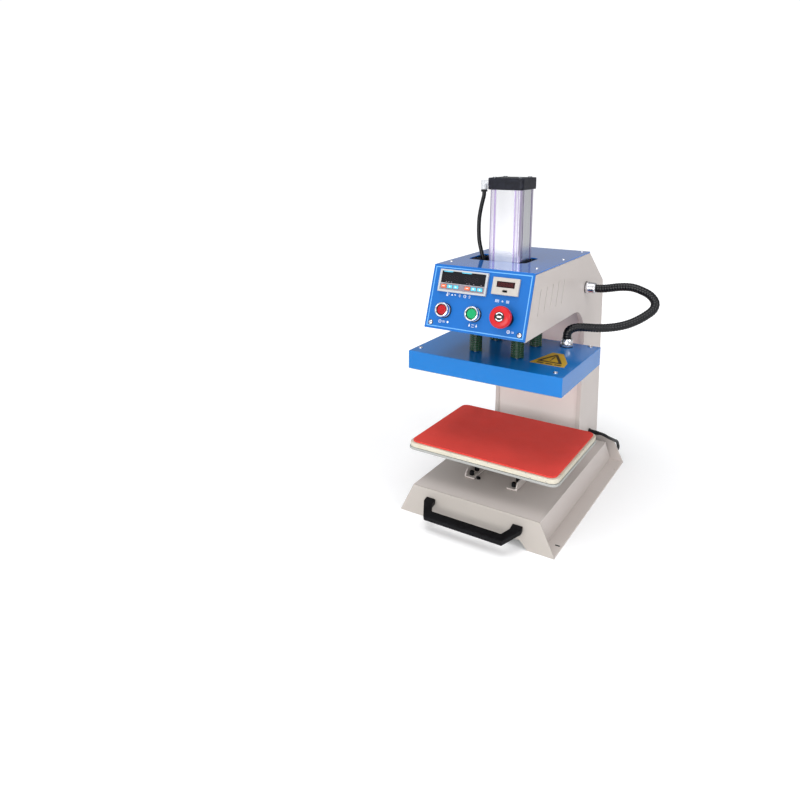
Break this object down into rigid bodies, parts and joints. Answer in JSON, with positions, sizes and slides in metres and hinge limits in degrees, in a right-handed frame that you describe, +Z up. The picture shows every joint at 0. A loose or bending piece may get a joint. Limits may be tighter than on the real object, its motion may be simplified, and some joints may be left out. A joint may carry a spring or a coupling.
{
  "type": "pneumatic hot stamping press",
  "caption": "Bench-top pneumatic hot stamping press: folded base, C-shaped column and head, air cylinder, heated platen, silicone work pad and tilted control panel.",
  "frame": {"origin": "centre of the footprint on the ground, without the power cord", "axes": "+X to the operator's right, -Y towards the operator, +Z up"},
  "size_m": [0.4131, 0.677, 0.6785],
  "materials": {
    "cream_paint": "smooth semi-gloss powder coat, light grey-cream",
    "blue_paint": "glossy blue enamel",
    "steel": "machined steel",
    "aluminium": "satin anodised aluminium",
    "chrome": "bright plated metal",
    "black_plastic": "moulded black plastic",
    "cylinder_cap": "black anodised die casting with a blue cast",
    "black_rubber": "black flexible cord and sleeve",
    "spring_green": "dark green enamelled spring wire",
    "silicone": "brick red silicone foam sheet with a matt skin",
    "board": "cream board with a cut edge",
    "insulation": "heat insulating fibre board",
    "bezel": "grey instrument bezel",
    "cream_plastic": "cream instrument case",
    "red_plastic": "red button cap",
    "green_plastic": "green button cap",
    "orange_key": "orange membrane key",
    "cyan_key": "light blue membrane key"
  },
  "bodies": {
    "root": {"base_shell": "cream_paint", "base_front_plate": "cream_paint", "base_rear_plate": "cream_paint", "side_cover_left": "cream_paint", "side_cover_right": "cream_paint", "column_front_cover": "cream_paint", "rear_cover": "cream_paint", "table_bracket_left": "cream_paint", "table_bracket_right": "cream_paint", "carry_handle": "black_plastic", "solid_state_relay": "black_plastic", "stop_button_housing": "black_plastic", "mains_plug": "black_plastic", "column_foot_plate": "steel", "frame_plate_right": "steel", "frame_plate_left": "steel", "cylinder_mount_plate": "steel", "solenoid_valve": "steel", "top_cover": "blue_paint", "control_panel": "blue_paint", "cylinder_lower_cap": "cylinder_cap", "cylinder_top_cap": "cylinder_cap", "cylinder_barrel": "aluminium", "table_plate": "aluminium", "elbow_fitting": "bezel", "meter_housing": "bezel", "air_tube": "black_rubber", "conduit": "black_rubber", "strain_relief": "black_rubber", "power_cord": "black_rubber", "cord_coil": "black_rubber", "counter_housing": "cream_plastic", "silicone_pad": "silicone", "table_board": "board", "head_gland": "chrome", "red_button_housing": "chrome", "green_button_housing": "chrome"},
    "platen": {"platen_cover": "blue_paint", "heater_plate": "aluminium", "heating_element": "steel", "insulation_board": "insulation", "stud_plate": "steel", "platen_gland": "chrome", "spring_front_left": "spring_green", "spring_front_right": "spring_green", "spring_rear_left": "spring_green", "spring_rear_right": "spring_green"},
    "ram": {"push_plate": "steel", "piston_and_rod": "chrome"},
    "red_button": {"red_button_cap": "red_plastic"},
    "green_button": {"green_button_cap": "green_plastic"},
    "stop_plunger": {"stop_button_plunger": "black_plastic"},
    "stop_head": {"stop_button_head": "red_plastic"},
    "reset_key": {"counter_reset_key": "black_plastic"},
    "key_1": {"meter_key_1": "orange_key"},
    "key_2": {"meter_key_2": "cyan_key"},
    "key_3": {"meter_key_3": "cyan_key"},
    "key_4": {"meter_key_4": "orange_key"},
    "key_5": {"meter_key_5": "cyan_key"},
    "key_6": {"meter_key_6": "cyan_key"}
  },
  "joints": [
    {"name": "press", "type": "slide", "parent": "root", "child": "platen", "axis": [0, 0, -1], "range_m": [0, 0.15]},
    {"name": "spring_travel", "type": "slide", "parent": "platen", "child": "ram", "axis": [0, 0, -1], "range_m": [0, 0.006], "stiffness_N_per_m": 24000, "deforming": ["spring_front_left", "spring_front_right", "spring_rear_left", "spring_rear_right"]},
    {"name": "red_button_press", "type": "slide", "parent": "root", "child": "red_button", "axis": [0, 0.9455, -0.3256], "range_m": [0, 0.0035], "stiffness_N_per_m": 800},
    {"name": "green_button_press", "type": "slide", "parent": "root", "child": "green_button", "axis": [0, 0.9455, -0.3256], "range_m": [0, 0.0035], "stiffness_N_per_m": 800},
    {"name": "stop_button_press", "type": "slide", "parent": "root", "child": "stop_plunger", "axis": [0, 0.9455, -0.3256], "range_m": [0, 0.005], "stiffness_N_per_m": 1500},
    {"name": "stop_button_twist", "type": "hinge", "parent": "stop_plunger", "child": "stop_head", "pos_m": [0.0585, -0.24613, 0.4441], "axis": [0, -0.9455, 0.3256], "range_deg": [-45, 0], "stiffness_Nm_per_rad": 0.3},
    {"name": "counter_reset_press", "type": "slide", "parent": "root", "child": "reset_key", "axis": [0, 0.9455, -0.3256], "range_m": [0, 0.0008], "stiffness_N_per_m": 300},
    {"name": "key_1_press", "type": "slide", "parent": "root", "child": "key_1", "axis": [0, 0.9455, -0.3256], "range_m": [0, 0.0008], "stiffness_N_per_m": 300},
    {"name": "key_2_press", "type": "slide", "parent": "root", "child": "key_2", "axis": [0, 0.9455, -0.3256], "range_m": [0, 0.0008], "stiffness_N_per_m": 300},
    {"name": "key_3_press", "type": "slide", "parent": "root", "child": "key_3", "axis": [0, 0.9455, -0.3256], "range_m": [0, 0.0008], "stiffness_N_per_m": 300},
    {"name": "key_4_press", "type": "slide", "parent": "root", "child": "key_4", "axis": [0, 0.9455, -0.3256], "range_m": [0, 0.0008], "stiffness_N_per_m": 300},
    {"name": "key_5_press", "type": "slide", "parent": "root", "child": "key_5", "axis": [0, 0.9455, -0.3256], "range_m": [0, 0.0008], "stiffness_N_per_m": 300},
    {"name": "key_6_press", "type": "slide", "parent": "root", "child": "key_6", "axis": [0, 0.9455, -0.3256], "range_m": [0, 0.0008], "stiffness_N_per_m": 300}
  ]
}
